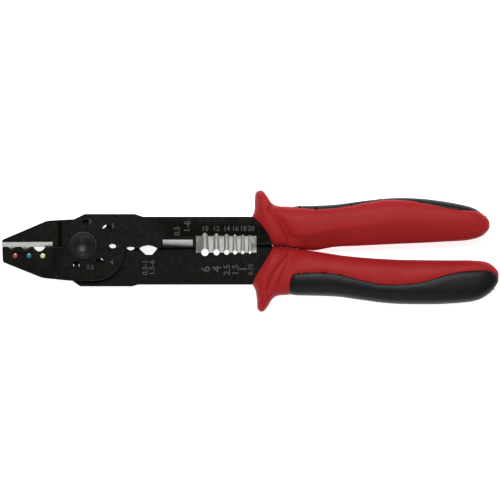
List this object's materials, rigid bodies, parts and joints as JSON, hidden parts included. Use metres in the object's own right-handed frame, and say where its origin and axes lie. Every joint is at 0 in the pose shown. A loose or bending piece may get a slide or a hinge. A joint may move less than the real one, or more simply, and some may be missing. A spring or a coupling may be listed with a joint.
{
  "type": "wire stripper",
  "caption": "Hand tool of two riveted stamped plates with soft-grip handles: strips, cuts and crimps wire and shears small bolts.",
  "frame": {"origin": "on the pivot axis, midway between the two stacked plates, with the tool closed", "axes": "+X towards the grips along the tool, +Z along the pivot axis out of the rivet's dished head, +Y towards the upper grip"},
  "size_m": [0.2251, 0.055, 0.0172],
  "materials": {
    "burnished_steel": "black burnished, with ground cutting edges",
    "rivet_steel": "black burnished, smooth",
    "hard_red_plastic": "semi-gloss",
    "soft_black_rubber": "matt, soft",
    "red_paint": "gloss",
    "blue_paint": "gloss",
    "yellow_paint": "gloss"
  },
  "bodies": {
    "back_half": {"back_plate": "burnished_steel", "pivot_rivet": "rivet_steel", "front_washer": "rivet_steel", "back_washer": "rivet_steel", "lower_grip_body": "hard_red_plastic", "lower_grip_pad": "soft_black_rubber"},
    "front_half": {"front_plate": "burnished_steel", "upper_grip_body": "hard_red_plastic", "upper_grip_pad": "soft_black_rubber", "red_mark": "red_paint", "blue_mark": "blue_paint", "yellow_mark": "yellow_paint"}
  },
  "joints": [
    {"name": "pivot_hinge", "type": "hinge", "parent": "back_half", "child": "front_half", "pos_m": [0, 0, 0], "axis": [0, 0, 1], "range_deg": [0, 24]}
  ]
}
